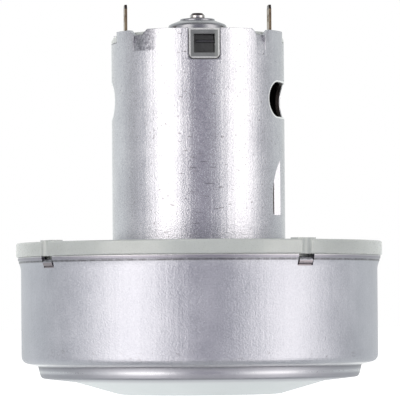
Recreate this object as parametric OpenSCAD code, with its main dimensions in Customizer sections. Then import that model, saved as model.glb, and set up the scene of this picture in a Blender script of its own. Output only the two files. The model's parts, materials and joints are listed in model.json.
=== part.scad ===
// Vacuum motor unit: a brushed can motor standing on a one-stage suction fan.
// Millimetres. Z runs up the shaft, the origin is the centre of the inlet face and the front is -Y.

/* [Fan cover] */
// Outer diameter of the cover's barrel
cover_d = 74.2; // [71:0.1:82]
// Thickness of the pressed sheet
cover_sheet = 0.8; // [0.5:0.05:0.85]
// Height of the cover from the inlet face to its rim
cover_h = 28.55; // [27:0.05:34]
// How far the rim flares out past the barrel
flare_out = 0.65; // [0.3:0.05:0.9]
// Height of the flare below the rim
flare_h = 2.2; // [2:0.1:4]
// Bend radius of the flare
flare_r = 4; // [2:0.1:5]
// Height of the barrel's lower corner above the inlet face
shoulder_h = 6.9; // [6:0.1:7.5]
// Radial width of the shoulder
shoulder_w = 3.45; // [3:0.05:4]
// Fall of the shoulder from the barrel to the stepped ring
shoulder_fall = 0.9; // [0.5:0.05:1.1]
// Corner radius between barrel and shoulder
shoulder_r = 1.5; // [1.2:0.1:2]
// Height of the stepped ring below the shoulder
step_h = 2.5; // [2.4:0.1:3]
// How far the ring's bulge lies inside its root
bulge_in = 0.2; // [0.1:0.05:0.3]
// Bulge of the stepped ring below the shoulder
bulge_drop = 1.05; // [0.9:0.05:1.2]
// Radius of that bulge
bulge_r = 6; // [3:0.5:7]
// Draft from the bulge to the ring's lower edge, measured across the radius
step_draft = 0.45; // [0.3:0.05:0.6]
// Lower edge radius of the stepped ring
step_r = 0.9; // [0.7:0.05:1]
// Width of the ring's underside
ring_w = 6.9; // [6:0.1:7.5]
// Fall of the ring's underside towards the inlet cone
ring_dish = 0.8; // [0.4:0.1:1]
// Outer diameter of the flat inlet face
face_d = 33.5; // [32:0.5:36]
// Bore of the air inlet
inlet_d = 25; // [22:0.5:27]
// Height of the inlet's turned-in lip
inlet_lip = 3.8; // [3.2:0.1:4.2]
// Radius of the inlet's curled edge
inlet_curl = 1.6; // [1:0.1:1.9]
// Height of the bead at the rim
bead_h = 0.85; // [0.7:0.05:1]
// Radius of the groove below that bead
bead_groove = 0.2; // [0.15:0.01:0.25]

/* [Crimp tongues] */
// Number of tongues that lock the cover to the plate
tongue_count = 4; // [3:1:6]
// Angle of the first tongue from the front
tongue_turn = 30.4; // [0:0.1:90]
// Width of a tongue
tongue_w = 3.3; // [2.4:0.1:5]
// Slit on each side of a tongue
tongue_slit = 0.25; // [0.1:0.05:0.4]
// Depth of the cut round a tongue below the cover's rim
tongue_h = 2.25; // [2.2:0.05:2.4]
// Radius of a tongue's rolled end
tongue_roll = 0.8; // [0.6:0.05:0.8]
// Centre of the roll below the cover's rim
tongue_drop = 1.3; // [1.2:0.05:1.35]
// Centre of the roll inside the barrel's outer face
tongue_in = 0.35; // [0.3:0.05:0.5]
// Thickness of the neck below the roll
tongue_neck = 0.4; // [0.3:0.05:0.5]

/* [Diffuser plate] */
// How far the plate's rim stands out past the barrel
plate_over = 1; // [0.8:0.1:2]
// Height of the plate's rim
rim_h = 2.95; // [2.4:0.05:4]
// Wall of the plate's rim
rim_wall = 3.1; // [2.5:0.1:3.4]
// Chamfer at the rim's lower edge
rim_chamfer = 0.2; // [0.1:0.05:0.6]
// Chamfer at the rim's upper edge
rim_edge = 0.25; // [0.1:0.05:0.5]
// Shadow gap between the rim and the cover
shadow_gap = 0.05; // [0.05:0.05:0.6]
// Width of the seat that rests on the cover's rim
seat_w = 1; // [0.7:0.05:1.2]
// Depth of the spigot inside the cover
spigot_h = 3.4; // [2.6:0.1:5]
// Wall of the spigot
spigot_wall = 1.8; // [1.6:0.1:2.2]
// Clearance between spigot and cover
spigot_gap = 0.1; // [0.05:0.05:0.3]
// Thickness of the deck
deck_t = 2; // [1.4:0.1:2.6]
// Deck's upper face below the rim's top
deck_drop = 0.95; // [0.4:0.05:1.4]
// Width of the deck inside the rim
deck_outer_w = 2.6; // [1.5:0.1:4]
// Width of the deck outside the collar
deck_inner_w = 2.8; // [1.5:0.1:4]
// Wall of the collar round the can
collar_wall = 1.95; // [1.4:0.05:2.6]
// Clearance between collar and can
collar_gap = 0.25; // [0.1:0.05:0.5]
// Collar's top below the rim's top
collar_drop = 0.25; // [0.1:0.05:1]
// Thickness of the well's floor
well_floor = 2.5; // [2:0.1:3.5]
// Width of the groove above each tongue
rim_groove_w = 3; // [2:0.1:4]
// Depth of the groove above each tongue
rim_groove = 0.8; // [0.3:0.1:1]
// Length of the raised lip above each tongue
rim_lip_w = 4.6; // [3:0.1:7]
// Height of the raised lip above each tongue
rim_lip = 0.3; // [0.1:0.05:0.6]

/* [Guide vanes] */
// Number of guide vanes
vane_count = 15; // [9:1:18]
// Thickness of a vane
vane_t = 1.2; // [0.8:0.1:1.6]
// Vane angle from the circle at its tip
vane_tip_angle = 22; // [18:1:30]
// Vane angle from the circle at its root
vane_root_angle = 75; // [65:1:80]
// Gap between vane tips and the barrel
vane_tip_gap = 1.4; // [1.3:0.1:1.7]
// Running gap between vanes and impeller disc
vane_run_gap = 1.7; // [1:0.1:3]

/* [Motor can] */
// Outer diameter of the can
can_d = 36; // [34:0.1:40]
// Wall of the can
can_wall = 1; // [0.8:0.05:1.2]
// Length of the can from floor to rim
can_len = 50; // [48:0.5:60]
// Depth of the can's floor below the plate's top
can_sink = 6.45; // [5.5:0.05:7]
// Corner radius at the can's floor
can_corner = 1.6; // [1.3:0.1:2.5]
// Depth of the drawn bearing boss
boss_h = 2.3; // [1.6:0.1:2.4]
// Turn of can and magnets against the brushes
can_turn = -13.7; // [-20:0.1:0]
// Height of a vent slot
vent_h = 7.2; // [5:0.1:9]
// Angle spanned by a vent slot
vent_arc = 52; // [40:1:60]
// Centre of the vent slots below the can's rim
vent_drop = 14.2; // [13:0.1:16]
// Distance between the two screws
screw_spacing = 25; // [24:0.5:26]
// Nominal screw thread
screw_d = 3; // [2.5:0.5:3]
// Diameter of the floor vents
floor_vent_d = 4.6; // [3:0.1:5]
// Distance of the floor vents from the axis
floor_vent_r = 11.6; // [11:0.1:13]

/* [Can rim and flaps] */
// Number of rim crimps
crimp_count = 4; // [2:1:4]
// Angle of the first crimp from the front
crimp_turn = 42.3; // [35:0.1:50]
// Width of a rim crimp
crimp_w = 2.4; // [1.5:0.1:3]
// Height of a rim crimp
crimp_h = 3.2; // [2.6:0.1:3.6]
// How far a crimp is bent inwards
crimp_bend = 0.75; // [0.4:0.05:0.8]
// How far a crimp ends below the rim
crimp_drop = 1.05; // [0.8:0.05:1.2]
// How far the rim falls away beside a crimp, measured along the rim
crimp_fall = 1.4; // [1:0.1:1.6]
// Half angle of the rim notches at the terminals
notch_half_angle = 17; // [14:0.5:20]
// Depth of the rim notches at the terminals
notch_h = 2.3; // [1.6:0.1:3]
// Flap's hinge line before the vent's centre
flap_hinge = 10.4; // [9:0.1:10.6]
// Width of a lanced flap
flap_w = 3.7; // [3:0.1:3.8]
// Height of a lanced flap
flap_h = 11.6; // [9:0.1:14]
// Bottom of the flaps above the can's floor
flap_z = 11.8; // [10:0.1:14]
// Angle of a flap against the tangent at its hinge
flap_tilt = 40; // [36:0.5:44]
// Thickness of a flap
flap_t = 0.8; // [0.6:0.05:0.9]

/* [End cap] */
// Cap's deck below the can's rim
cap_drop = 0.3; // [0.1:0.05:0.5]
// Thickness of the cap's deck
cap_deck = 1.6; // [1.4:0.1:2]
// Length of the cap's skirt below the deck's top
cap_skirt = 8.8; // [8:0.1:10]
// Wall of the cap's skirt
cap_wall = 1.3; // [1:0.05:1.3]
// Clearance between cap and can
cap_gap = 0.05; // [0.03:0.01:0.1]
// Chamfer round the cap's top
cap_chamfer = 1.1; // [1:0.05:1.3]
// Height of that chamfer
cap_chamfer_h = 1.7; // [1.6:0.1:2]
// Rounding of the cap's shoulders in the rim notches
cap_shoulder_r = 1.65; // [1:0.05:1.9]
// Clearance of the shoulders in the rim notches
shoulder_gap = 0.1; // [0.05:0.05:0.3]

/* [Bearings and cup] */
// Outer diameter of the front bearing
front_bearing_d = 10; // [9:0.1:11]
// Length of the front bearing
front_bearing_len = 5; // [4:0.1:6]
// Outer diameter of the rear bearing
rear_bearing_d = 8; // [7:0.1:8.2]
// Length of the rear bearing
rear_bearing_len = 2.3; // [2:0.1:2.5]
// Clearance of a bearing in its seat
bearing_seat_gap = 0.03; // [0.02:0.01:0.05]
// Running clearance of the shaft
shaft_gap = 0.03; // [0.02:0.01:0.08]
// Outer diameter of the rear bearing cup
cup_d = 12.2; // [11.6:0.1:13]
// Height of the cup's corner above the deck
cup_wall_h = 2.1; // [1.6:0.1:2.3]
// Radius of that corner
cup_r = 0.8; // [0.5:0.05:0.9]
// Height of the cup above the deck
cup_h = 3.4; // [3.3:0.1:4.2]
// Diameter of the cup's upper tier
cup_tier_d = 7.3; // [6.5:0.1:8]
// Height of the cup's upper tier
cup_tier_h = 0.45; // [0.35:0.05:0.6]
// Shaft's hole in the cup and in the can's boss
shaft_hole_d = 4.4; // [4:0.1:5]

/* [Terminals] */
// Distance of a terminal from the axis
terminal_x = 15.05; // [14.4:0.05:15.05]
// Thickness of a terminal
terminal_t = 0.5; // [0.4:0.05:0.6]
// Width of a terminal
terminal_w = 4.8; // [3:0.1:4.8]
// Height of the terminals above the can's rim
terminal_out = 6; // [4:0.1:8]
// Length of the foot under the deck
terminal_foot = 4.6; // [3:0.1:5]
// Taper of the terminal's tip on each side
terminal_taper = 0.9; // [0.3:0.1:1.2]
// Hole near the terminal's tip
terminal_hole_d = 1.8; // [1.2:0.1:2.2]
// Clearance of a terminal in its slot
terminal_gap = 0.05; // [0.03:0.01:0.1]

/* [Brush gear] */
// Width of a carbon brush
brush_w = 4.2; // [3.6:0.1:4.4]
// Height of a carbon brush
brush_h = 3.75; // [3.4:0.05:3.8]
// Length of a carbon brush
brush_len = 10; // [9.4:0.1:10.2]
// Clearance of a brush in its holder
brush_gap = 0.05; // [0.03:0.01:0.1]
// Centre of the brushes below the can's rim
brush_drop = 3.23; // [3.1:0.01:3.4]
// Side wall of a brush holder
holder_wall = 1; // [0.8:0.05:1.1]
// Floor of a brush holder
holder_floor = 1.15; // [0.9:0.05:1.4]
// Roof of a brush holder
holder_roof = 1.2; // [1:0.05:1.3]
// Holder's inner end from the commutator
holder_stand = 2.75; // [2:0.05:4]
// Rounding of the holder's lower edges
holder_r = 1; // [0.6:0.1:1.1]
// Gap between a holder and the can's notch
holder_gap = 0.15; // [0.1:0.05:0.3]
// Wire of a brush spring
spring_wire = 0.5; // [0.4:0.05:0.6]
// Mean radius of a brush spring's coil
spring_r = 1.75; // [1.6:0.05:1.9]
// Turns of a brush spring
spring_turns = 3; // [2:1:4]
// Rise of one turn
spring_pitch = 0.95; // [0.92:0.01:1]
// Spring's place beside the brush
spring_x = 5.7; // [5.5:0.05:6.4]
// Spring's distance out from the axis
spring_out = 10.9; // [10.4:0.1:11.2]
// Spring arm's height above the brush's centre
spring_arm_up = 0.6; // [0.4:0.05:0.7]

/* [Magnets and rotor] */
// Thickness of a magnet
magnet_t = 4.55; // [3.5:0.05:5]
// Half angle of a magnet
magnet_half_angle = 66; // [55:1:67]
// Length of a magnet
magnet_len = 26; // [22:0.5:28]
// Magnets above the can's inner floor
magnet_lift = 4.9; // [4:0.1:6]
// Glue line between magnet and can
magnet_glue = 0.05; // [0.03:0.01:0.1]
// Air gap between magnets and rotor
air_gap = 0.5; // [0.35:0.05:0.8]
// Length of the rotor core
core_len = 22; // [18:0.5:23]
// Number of slots and commutator bars
slots = 5; // [5:1:5]
// Width of a tooth
tooth_w = 4.2; // [3.5:0.1:4.6]
// Radius of the core's yoke
yoke_r = 5.2; // [5:0.1:5.6]
// Thickness of a tooth's tip
tip_t = 1.6; // [1.2:0.1:2]
// Opening of a slot
slot_open = 2.2; // [1.5:0.1:3]
// Thickness of the end spiders
insulator_t = 0.8; // [0.5:0.1:1]
// Height of a coil's end turns
coil_end = 2; // [1.5:0.1:2.2]
// Space between coils and what they lie on
coil_gap = 0.15; // [0.1:0.05:0.2]

/* [Commutator and shaft] */
// Diameter of the commutator
comm_d = 10.5; // [9.6:0.1:10.8]
// Length of a commutator bar
bar_len = 7.4; // [6.5:0.1:8]
// Thickness of a commutator bar
bar_t = 1.2; // [0.9:0.05:1.4]
// Gap between two bars
bar_gap = 0.5; // [0.3:0.05:0.7]
// Reach of a bar's tang past the commutator
tang_out = 1.4; // [0.8:0.1:1.8]
// Width of a bar's tang
tang_w = 1.8; // [1.2:0.1:2.4]
// Height of a bar's tang
tang_h = 1; // [0.6:0.1:1.4]
// Commutator hub below the bars
hub_foot = 2.5; // [1.5:0.1:3]
// Gap between the brushes and the commutator
brush_face_gap = 0.05; // [0.03:0.01:0.1]
// Diameter of the shaft
shaft_d = 3.17; // [3:0.01:3.3]
// Shaft's end above the cup
shaft_out = 1.2; // [0.5:0.1:2]
// Shaft's end below the impeller's hub
shaft_tip = 1; // [0.5:0.1:2]
// Chamfer at the shaft's ends
shaft_chamfer = 0.5; // [0.2:0.05:0.8]
// Press fit clearance on the shaft
press_gap = 0.02; // [0.01:0.01:0.03]
// Diameter of the shaft spacers
spacer_d = 6; // [5:0.1:7]
// Thickness of a thrust washer
washer_t = 0.45; // [0.3:0.05:0.5]
// Diameter of a thrust washer
washer_d = 6.4; // [5:0.1:7]
// End play at each thrust washer
end_play = 0.1; // [0.05:0.05:0.2]

/* [Impeller] */
// Gap between the impeller's rim and the barrel
impeller_gap = 5.3; // [4.5:0.1:8]
// Thickness of the impeller's sheet
impeller_sheet = 0.7; // [0.5:0.05:0.9]
// Gap between the inlet's lip and the impeller's eye
eye_gap = 0.8; // [0.5:0.1:1.2]
// Eye's radius past the inlet's bore
eye_over = 0.8; // [0.4:0.1:1.5]
// Height of the eye's neck
eye_neck = 1; // [0.9:0.1:1.4]
// Bend radius between the eye's neck and the shroud
shroud_bend = 1; // [0.5:0.1:1.1]
// Rise of the shroud from the neck to its rim
shroud_rise = 4.4; // [3.6:0.1:5.2]
// Blade height at the rim
blade_tip_h = 4.5; // [3.8:0.1:6]
// Number of blades
blade_count = 9; // [7:1:11]
// Thickness of a blade
blade_t = 0.6; // [0.5:0.05:0.8]
// Blade's inner end inside the eye
blade_inset = 1.8; // [1:0.1:3]
// Blade's outer end inside the rim
blade_rim = 0.5; // [0.2:0.1:1]
// Blade angle from the circle at its inner end
blade_in_angle = 35; // [30:1:45]
// Blade angle from the circle at its outer end
blade_out_angle = 45; // [40:1:55]
// Seam between the blades and the shroud
blade_seam = 0.05; // [0.03:0.01:0.1]
// Diameter of the impeller's hub
hub_d = 8; // [7:0.1:10]
// Diameter of the hub's flange
hub_flange_d = 14; // [11:0.5:16]
// Thickness of the hub's flange
hub_flange_t = 1.4; // [1:0.1:2]
// Length of the hub below the disc
hub_len = 7; // [5:0.1:8]

/* [Hidden] */
$fn = 96;

// How far a cut runs past the wall it opens, and how far joined forms of one piece overlap
past = 1;
weld = 0.1;

// Radii of the fan stage
cover_r = cover_d / 2;
cover_in = cover_r - cover_sheet;
ring_root_r = cover_r - shoulder_w;
ring_root_z = shoulder_h - shoulder_fall;
bulge_out = ring_root_r - bulge_in;
ring_low_r = bulge_out - step_draft;
ring_z = ring_root_z - step_h;
cone_r = ring_low_r - ring_w;
inlet_r = inlet_d / 2;
plate_r = cover_r + plate_over;
spigot_r = cover_in - spigot_gap;
spigot_in = spigot_r - spigot_wall;
window_out = spigot_in - deck_outer_w;
can_r = can_d / 2;
can_in = can_r - can_wall;
collar_in = can_r + collar_gap;
collar_r = collar_in + collar_wall;
window_in = collar_r + deck_inner_w;
vane_tip_r = cover_in - vane_tip_gap;
tongue_r = cover_r - tongue_in;
tongue_root = 0.4;
pocket_gap = 0.3;

// Levels of the plate and the can
tongue_roll_z = cover_h - tongue_drop;
rim_z = cover_h + shadow_gap;
plate_z = rim_z + rim_h;
deck_top = plate_z - deck_drop;
deck_z = deck_top - deck_t;
can_z = plate_z - can_sink;
can_top = can_z + can_len;
can_floor = can_z + can_wall;
boss_z = can_z - boss_h;
boss_r = front_bearing_d / 2 + bearing_seat_gap + can_wall;
boss_gap = 0.7;
flap_lean = 0.75;
crimp_z = can_top - crimp_drop - crimp_h;
crimp_root = 0.4;
crimp_slit = 0.1;
crimp_knee = 0.8;
crimp_room = 0.15;
vent_z = can_top - vent_drop;
vent_angles = [can_turn + 90, can_turn + 270];
screw_hole_gap = 0.15;
floor_vent_angles = [45, 135, 225, 315];

// Levels of the end cap and the brush gear
cap_z = can_top - cap_drop;
cap_low = cap_z - cap_deck;
cap_r = can_in - cap_gap;
brush_z = can_top - brush_drop;
tunnel_w = brush_w + 2 * brush_gap;
tunnel_h = brush_h + 2 * brush_gap;
holder_w = tunnel_w + 2 * holder_wall;
holder_z = brush_z - tunnel_h / 2 - holder_floor;
holder_top = brush_z + tunnel_h / 2 + holder_roof;
comm_r = comm_d / 2;
holder_in = comm_r + holder_stand;
holder_out = can_r - cap_gap;
holder_fit = 0.05;
brush_in = comm_r + brush_face_gap;
brush_out = brush_in + brush_len;
brush_travel = 1.2;
arm_r = spring_wire / 2;
arm_z = brush_z + spring_arm_up;
arm_gap = 0.1;
arm_y = brush_out + arm_r + arm_gap;
arm_room = 0.2;
post_gap = 0.25;
post_r = spring_r - spring_wire / 2 - post_gap;
post_len = spring_turns * spring_pitch + 1;
notch_z = can_top - notch_h;

// Levels of the rotor
shaft_r = shaft_d / 2;
bore_r = shaft_r + press_gap;
magnet_z = can_floor + magnet_lift;
magnet_out = can_in - magnet_glue;
magnet_in = magnet_out - magnet_t;
core_r = magnet_in - air_gap;
core_z = magnet_z + (magnet_len - core_len) / 2;
core_top = core_z + core_len;
tip_in = core_r - tip_t;
coil_in_y = tooth_w / 2 + coil_gap;
coil_x = yoke_r + 2 * coil_gap + 0.4;
coil_y = coil_x * tan(180 / slots) - coil_gap;
coil_end_x = sqrt(pow(tip_in - coil_gap, 2) - pow(coil_y, 2));
coil_in_h = core_len + 2 * insulator_t + 2 * coil_gap;
bar_top = brush_z + brush_h / 2 + 0.2;
bar_z = bar_top - bar_len;
front_bearing_z = boss_z + can_wall;
front_bearing_top = front_bearing_z + front_bearing_len;
rear_bearing_z = cap_z - 0.2;
rear_bearing_top = rear_bearing_z + rear_bearing_len;
cup_top = cap_z + cup_h;
comm_top = rear_bearing_z - end_play - washer_t;
shaft_end = cup_top + shaft_out;

// Levels of the impeller
impeller_r = cover_in - impeller_gap;
eye_r = inlet_r + eye_over;
eye_z = inlet_lip + eye_gap;
shroud_rim_z = eye_z + eye_neck + shroud_rise;
disc_z = shroud_rim_z + impeller_sheet + blade_tip_h;
disc_top = disc_z + impeller_sheet;
vane_z = disc_top + vane_run_gap;
hub_z = disc_z - hub_len;
hub_top = disc_top + hub_flange_t;
shaft_start = hub_z - shaft_tip;

// Sheet profile of the cover from its rim to the inlet, as [radius, height, bend radius]
cover_path = [
    [cover_r + flare_out, cover_h, 0],
    [cover_r + flare_out, cover_h - 0.5, 1.2],
    [cover_r, cover_h - flare_h, flare_r],
    [cover_r, shoulder_h, shoulder_r],
    [ring_root_r, ring_root_z, 0.4],
    [bulge_out, ring_root_z - bulge_drop, bulge_r],
    [ring_low_r, ring_z, step_r],
    [cone_r, ring_z - ring_dish, 1],
    [face_d / 2, 0, 4],
    [inlet_r, 0, inlet_curl],
    [inlet_r, inlet_lip, 0],
];

// Sheet profile of the can from its rim to the hole in its boss
can_path = [
    [can_r, can_top, 0],
    [can_r, can_z, can_corner],
    [boss_r, can_z, 0.5],
    [boss_r, boss_z, can_wall + 0.2],
    [shaft_hole_d / 2, boss_z, 0],
];

// Sheet profile of the impeller's shroud from its rim to its eye
shroud_path = [
    [impeller_r, shroud_rim_z, 0],
    [eye_r + impeller_sheet, eye_z + eye_neck, shroud_bend],
    [eye_r + impeller_sheet, eye_z, 0],
];

// Path tools: a bend is an arc between two straight runs, and a sheet is a path with a thickness
function unit(v) = v / norm(v);
function flat(v) = [v[0], v[1]];
function wrap(a) = a > 180 ? a - 360 : a < -180 ? a + 360 : a;
function bend(a, b, c, r, steps = 5) =
    let (u = unit(a - b), v = unit(c - b), half = acos(u * v) / 2)
    let (o = b + unit(u + v) * r / sin(half))
    let (p = b + u * r / tan(half) - o, q = b + v * r / tan(half) - o)
    let (start = atan2(p[1], p[0]), turn = wrap(atan2(q[1], q[0]) - start))
    [for (i = [0:steps]) o + r * [cos(start + turn * i / steps), sin(start + turn * i / steps)]];
function rounded(path) = [
    for (i = [0:len(path) - 1])
        let (b = flat(path[i]))
        for (p = path[i][2] <= 0 ? [b] : bend(flat(path[i - 1]), b, flat(path[i + 1]), path[i][2])) p
];
function side(a, b) = let (d = unit(b - a)) [d[1], -d[0]];
function shifted(line, t) = [
    for (i = [0:len(line) - 1])
        let (n0 = i > 0 ? side(line[i - 1], line[i]) : side(line[0], line[1]))
        let (n1 = i < len(line) - 1 ? side(line[i], line[i + 1]) : n0)
        let (m = unit(n0 + n1))
        line[i] + m * t / (m * n0)
];
function backwards(list) = [for (i = [len(list) - 1:-1:0]) list[i]];
function sheet(path, t) = let (line = rounded(path)) concat(line, backwards(shifted(line, t)));

// Turns its children, drawn along +X, to an angle counted from the front
module facing(angle) {
    rotate([0, 0, angle - 90]) children();
}

// Stands a radius and height outline on edge along +X, with a width across it
module slab(width) {
    rotate([90, 0, 0]) linear_extrude(width, center = true) children();
}

// Pushes an outline drawn across and up along +X
module along(start, length) {
    translate([start, 0, 0]) rotate([90, 0, 90]) linear_extrude(length) children();
}

// A straight tube from z to z + h
module tube(r_out, r_in, z, h) {
    translate([0, 0, z]) difference() {
        cylinder(r = r_out, h = h);
        translate([0, 0, -past]) cylinder(r = r_in, h = h + 2 * past);
    }
}

// A square cut or ring of profile r0 to r1 and z0 to z1 over an angle about +X
module sector(half, r0, r1, z0, z1) {
    rotate([0, 0, -half]) rotate_extrude(angle = 2 * half) translate([r0, z0]) square([r1 - r0, z1 - z0]);
}

// A rectangle with rounded corners about the origin
module rounded_rect(w, h, r) {
    square([w - 2 * r, h], center = true);
    square([w, h - 2 * r], center = true);
    for (x = [-1, 1], y = [-1, 1]) translate([x * (w / 2 - r), y * (h / 2 - r)]) circle(r);
}

// Outline of one blade: an arc from r1 to r2 that meets these circles at the angles a1 and a2
module swept_blade(r1, r2, a1, a2, t) {
    rho = (r2 * r2 - r1 * r1) / (2 * (r2 * cos(a2) - r1 * cos(a1)));
    centre = sqrt(r1 * r1 + rho * rho - 2 * r1 * rho * cos(a1));
    intersection() {
        difference() {
            circle(r2);
            circle(r1);
        }
        translate([centre, 0]) difference() {
            circle(rho + t / 2);
            circle(rho - t / 2);
        }
        translate([-2 * r2, 0]) square([4 * r2, 2 * r2]);
    }
}

module at_tongues() {
    for (i = [0:tongue_count - 1]) facing(tongue_turn + i * 360 / tongue_count) children();
}

// Pressed cover with its flared rim, stepped ring, inlet cone and rolled tongues
module fan_cover() {
    tongue_z = cover_h - tongue_h;
    color("lightsteelblue") {
        difference() {
            rotate_extrude() polygon(sheet(cover_path, cover_sheet));
            rotate_extrude() translate([cover_r + flare_out, cover_h - bead_h]) circle(bead_groove);
            at_tongues() translate([cover_in - past, -tongue_w / 2 - tongue_slit, tongue_z])
                cube([cover_sheet + flare_out + 2 * past, tongue_w + 2 * tongue_slit, tongue_h + past]);
        }
        at_tongues() slab(tongue_w) {
            translate([tongue_r, tongue_roll_z]) circle(tongue_roll);
            translate([tongue_r - tongue_neck / 2, tongue_z - tongue_root])
                square([tongue_neck, tongue_roll_z - tongue_z + tongue_root]);
        }
    }
}

// Rim, seat, spigot and outer deck of the plate
module plate_rim() {
    rotate_extrude() polygon([
        [spigot_in, cover_h - spigot_h],
        [spigot_r, cover_h - spigot_h],
        [spigot_r, cover_h],
        [spigot_r + seat_w, cover_h],
        [spigot_r + seat_w, rim_z],
        [plate_r - rim_chamfer, rim_z],
        [plate_r, rim_z + rim_chamfer],
        [plate_r, plate_z - rim_edge],
        [plate_r - rim_edge, plate_z],
        [plate_r - rim_wall, plate_z],
        [plate_r - rim_wall, deck_top],
        [window_out, deck_top],
        [window_out, deck_z],
        [spigot_in, deck_z],
    ]);
}

// Collar, inner deck and well floor that carry the can
module plate_well() {
    rotate_extrude() polygon([
        [boss_r + boss_gap, can_z - well_floor],
        [collar_r, can_z - well_floor],
        [collar_r, deck_z],
        [window_in, deck_z],
        [window_in, deck_top],
        [collar_r, deck_top],
        [collar_r, plate_z - collar_drop],
        [collar_in, plate_z - collar_drop],
        [collar_in, can_z],
        [boss_r + boss_gap, can_z],
    ]);
}

module guide_vanes() {
    translate([0, 0, vane_z]) linear_extrude(deck_top - vane_z)
        for (i = [0:vane_count - 1]) rotate(i * 360 / vane_count)
            swept_blade(collar_r - 3 * weld, vane_tip_r, vane_root_angle, vane_tip_angle, vane_t);
}

// Nylon plate between fan and motor: it seats on the cover's rim and carries the can in its well
module diffuser_plate() {
    pocket_in = tongue_r - tongue_roll - pocket_gap;
    lip_half = rim_lip_w / plate_r * 90 / PI;
    color("honeydew") difference() {
        union() {
            plate_rim();
            plate_well();
            guide_vanes();
            at_tongues() sector(lip_half, plate_r - rim_wall + 2 * weld, plate_r - rim_edge - weld,
                plate_z - 2 * weld, plate_z + rim_lip);
        }
        at_tongues() translate([plate_r + rim_groove_w / 2 - rim_groove, 0, rim_z - past])
            cylinder(d = rim_groove_w, h = rim_h + rim_lip + 2 * past);
        at_tongues() translate([pocket_in, -tongue_w / 2 - tongue_slit, cover_h - spigot_h - past])
            cube([plate_r + past - pocket_in, tongue_w + 2 * tongue_slit, spigot_h + past - weld]);
        for (x = [-1, 1]) translate([x * screw_spacing / 2, 0, can_z - well_floor - past])
            cylinder(d = screw_d + 2 * screw_hole_gap, h = well_floor + 2 * past);
        for (a = floor_vent_angles) facing(a) translate([floor_vent_r, 0, can_z - well_floor - past])
            cylinder(d = floor_vent_d, h = well_floor + 2 * past);
    }
}

// Outline of a lanced flap, from its hinge line at zero to its free edge
function flap_outline() = rounded([
    [0, 0, 0],
    [-flap_w, 0, 0.8],
    [-flap_w, flap_h * flap_lean, flap_h * flap_lean],
    [0, flap_h, 0],
]);

module at_flaps() {
    for (a = vent_angles) facing(a - flap_hinge) translate([can_r, 0, can_z + flap_z]) children();
}

module at_crimps() {
    for (i = [0:crimp_count - 1]) facing(crimp_turn + i * 360 / crimp_count) children();
}

// Outline of the gap that a crimp leaves in the rim, with the rim falling away to it on both sides
function crimp_outline() = rounded([
    [-crimp_w / 2 - 2 * crimp_fall, can_top + crimp_drop, 0],
    [-crimp_w / 2, can_top - crimp_drop, crimp_fall],
    [-crimp_w / 2, crimp_z, 0],
    [crimp_w / 2, crimp_z, 0],
    [crimp_w / 2, can_top - crimp_drop, crimp_fall],
    [crimp_w / 2 + 2 * crimp_fall, can_top + crimp_drop, 0],
]);

// Stadium slot through the can's wall about +X
module vent_slot() {
    end = vent_h / 2;
    half = vent_arc / 2 - end / can_r * 180 / PI;
    translate([0, 0, vent_z]) {
        sector(half, can_in - past, can_r + past, -end, end);
        for (a = [-half, half]) rotate([0, 90, a]) translate([0, 0, can_in - past])
            cylinder(r = end, h = can_wall + 2 * past);
    }
}

// Drawn can with its boss, vents, rim notches, crimps and inward flaps
module motor_can() {
    notch_r = holder_r + holder_gap;
    mouth_h = can_top - holder_z + holder_gap;
    color("silver") {
        difference() {
            rotate_extrude() polygon(sheet(can_path, can_wall));
            for (a = vent_angles) facing(a) vent_slot();
            for (a = [0, 180]) facing(a) translate([0, 0, holder_z - holder_gap + mouth_h])
                along(can_in - past, can_wall + 2 * past)
                    rounded_rect(holder_w + 2 * holder_gap, 2 * mouth_h, notch_r);
            for (a = [90, 270]) facing(a)
                sector(notch_half_angle, can_in - past, can_r + past, notch_z, can_top + past);
            at_crimps() along(can_in - past, can_wall + 2 * past) polygon(crimp_outline());
            at_flaps() along(-can_wall - 2 * past, can_wall + 3 * past) polygon(flap_outline());
            for (x = [-1, 1]) translate([x * screw_spacing / 2, 0, can_z - past])
                cylinder(d = screw_d, h = can_wall + 2 * past);
            for (a = floor_vent_angles) facing(a) translate([floor_vent_r, 0, can_z - past])
                cylinder(d = floor_vent_d, h = can_wall + 2 * past);
        }
        at_crimps() slab(crimp_w - crimp_slit) polygon([
            [can_in + weld, crimp_z - crimp_root],
            [can_r - weld, crimp_z - crimp_root],
            [can_r - weld, crimp_z + crimp_knee],
            [can_r - crimp_bend, crimp_z + crimp_h],
            [can_in - crimp_bend, crimp_z + crimp_h],
            [can_in + weld, crimp_z + crimp_knee],
        ]);
        at_flaps() rotate([0, 0, -flap_tilt]) along(-flap_t, flap_t) polygon(flap_outline());
    }
}

// Two pan head screws from the well into the can's floor
module motor_screws() {
    head_r = screw_d * 0.95;
    head_h = screw_d * 0.6;
    seat = can_z - well_floor;
    shank_r = screw_d / 2 - 0.03;
    color("gray") for (x = [-1, 1]) translate([x * screw_spacing / 2, 0, 0]) rotate_extrude() polygon([
        [0, seat - head_h],
        [head_r * 0.7, seat - head_h],
        [head_r, seat - head_h * 0.5],
        [head_r, seat],
        [shank_r, seat],
        [shank_r, can_floor + 1],
        [0, can_floor + 1],
    ]);
}

// A sintered bush with chamfered ends
module bush(r_out, r_in, z, h) {
    c = 0.3;
    rotate_extrude() polygon([
        [r_in, z],
        [r_out - c, z],
        [r_out, z + c],
        [r_out, z + h - c],
        [r_out - c, z + h],
        [r_in, z + h],
    ]);
}

module front_bearing() {
    color("darkgoldenrod") bush(front_bearing_d / 2, shaft_r + shaft_gap, front_bearing_z, front_bearing_len);
}

module rear_bearing() {
    color("darkgoldenrod") bush(rear_bearing_d / 2, shaft_r + shaft_gap, rear_bearing_z, rear_bearing_len);
}

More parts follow.
